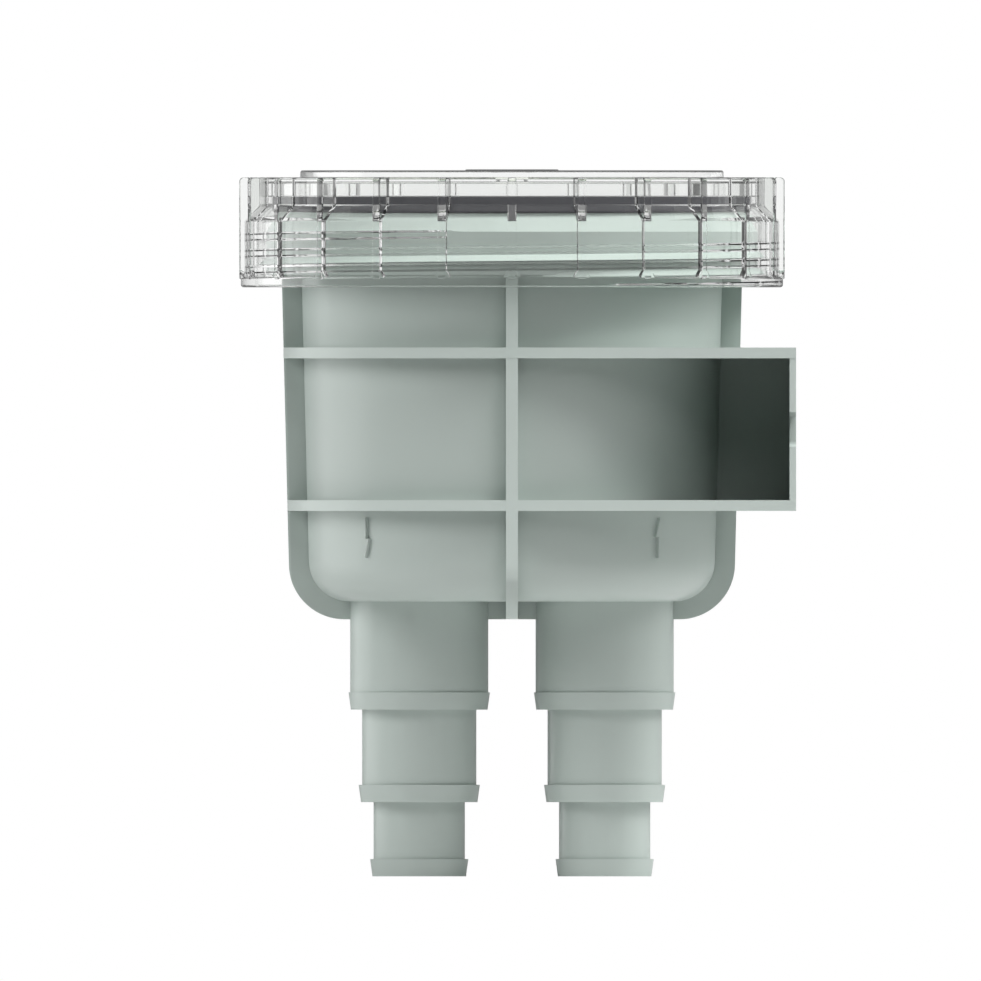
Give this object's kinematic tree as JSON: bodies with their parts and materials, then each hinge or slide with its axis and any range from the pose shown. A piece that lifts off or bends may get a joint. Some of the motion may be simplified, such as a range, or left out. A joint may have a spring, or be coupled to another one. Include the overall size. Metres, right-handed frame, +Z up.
{
  "type": "sea water strainer",
  "caption": "Ribbed plastic strainer for a boat's sea water intake, with stepped hose tails below, a side bracket, a clear screw cap and a lift-out basket.",
  "frame": {"origin": "middle of the side bracket's flat mounting face", "axes": "+X out of the mounting face, +Z up along the tub's axis towards the cap, -Y the front"},
  "size_m": [0.119, 0.1164, 0.151],
  "materials": {
    "housing_plastic": "satin grey-green moulded plastic",
    "basket_plastic": "satin natural moulded plastic",
    "gasket_rubber": "dull black rubber",
    "clear_plastic": "clear gloss moulded plastic"
  },
  "bodies": {
    "root": {"housing": "housing_plastic", "strainer_basket": "basket_plastic"},
    "cap_carrier": {"cap_gasket": "gasket_rubber"},
    "cap": {"screw_cap": "clear_plastic"}
  },
  "joints": [
    {"name": "cap_lift", "type": "slide", "parent": "root", "child": "cap_carrier", "axis": [0, 0, 1], "range_m": [0, 0.00963]},
    {"name": "cap_turn", "type": "hinge", "parent": "cap_carrier", "child": "cap", "pos_m": [-0.0607, 0, 0.05], "axis": [0, 0, 1], "range_deg": [0, 990]}
  ],
  "couplings": [
    {"joint": "cap_lift", "follows": "cap_turn", "m_per_rad": 0.00055704}
  ]
}
